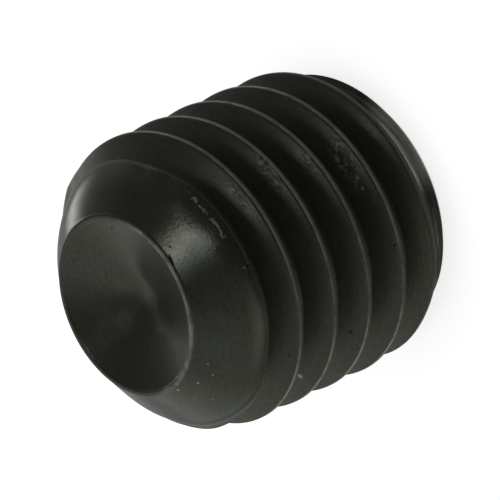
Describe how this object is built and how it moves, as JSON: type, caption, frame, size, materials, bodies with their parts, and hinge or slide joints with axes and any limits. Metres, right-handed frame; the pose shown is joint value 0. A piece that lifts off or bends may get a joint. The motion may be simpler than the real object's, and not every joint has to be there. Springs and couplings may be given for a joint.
{
  "type": "grub set screw",
  "caption": "Headless metric set screw with a full-length thread, a cup point and a hexagon socket.",
  "frame": {"origin": "centre of the flat ring round the hexagon socket, which the screw stands on", "axes": "+Z along the screw's axis from the socket end to the cup point; -Y faces the camera of the picture; +X completes a right-handed frame"},
  "size_m": [0.0098, 0.0098, 0.01],
  "materials": {
    "black_oxide_steel": "satin black oxide over hardened alloy steel, oily, with fine rolling and chatter marks"
  },
  "bodies": {
    "root": {"set_screw": "black_oxide_steel"}
  },
  "joints": []
}
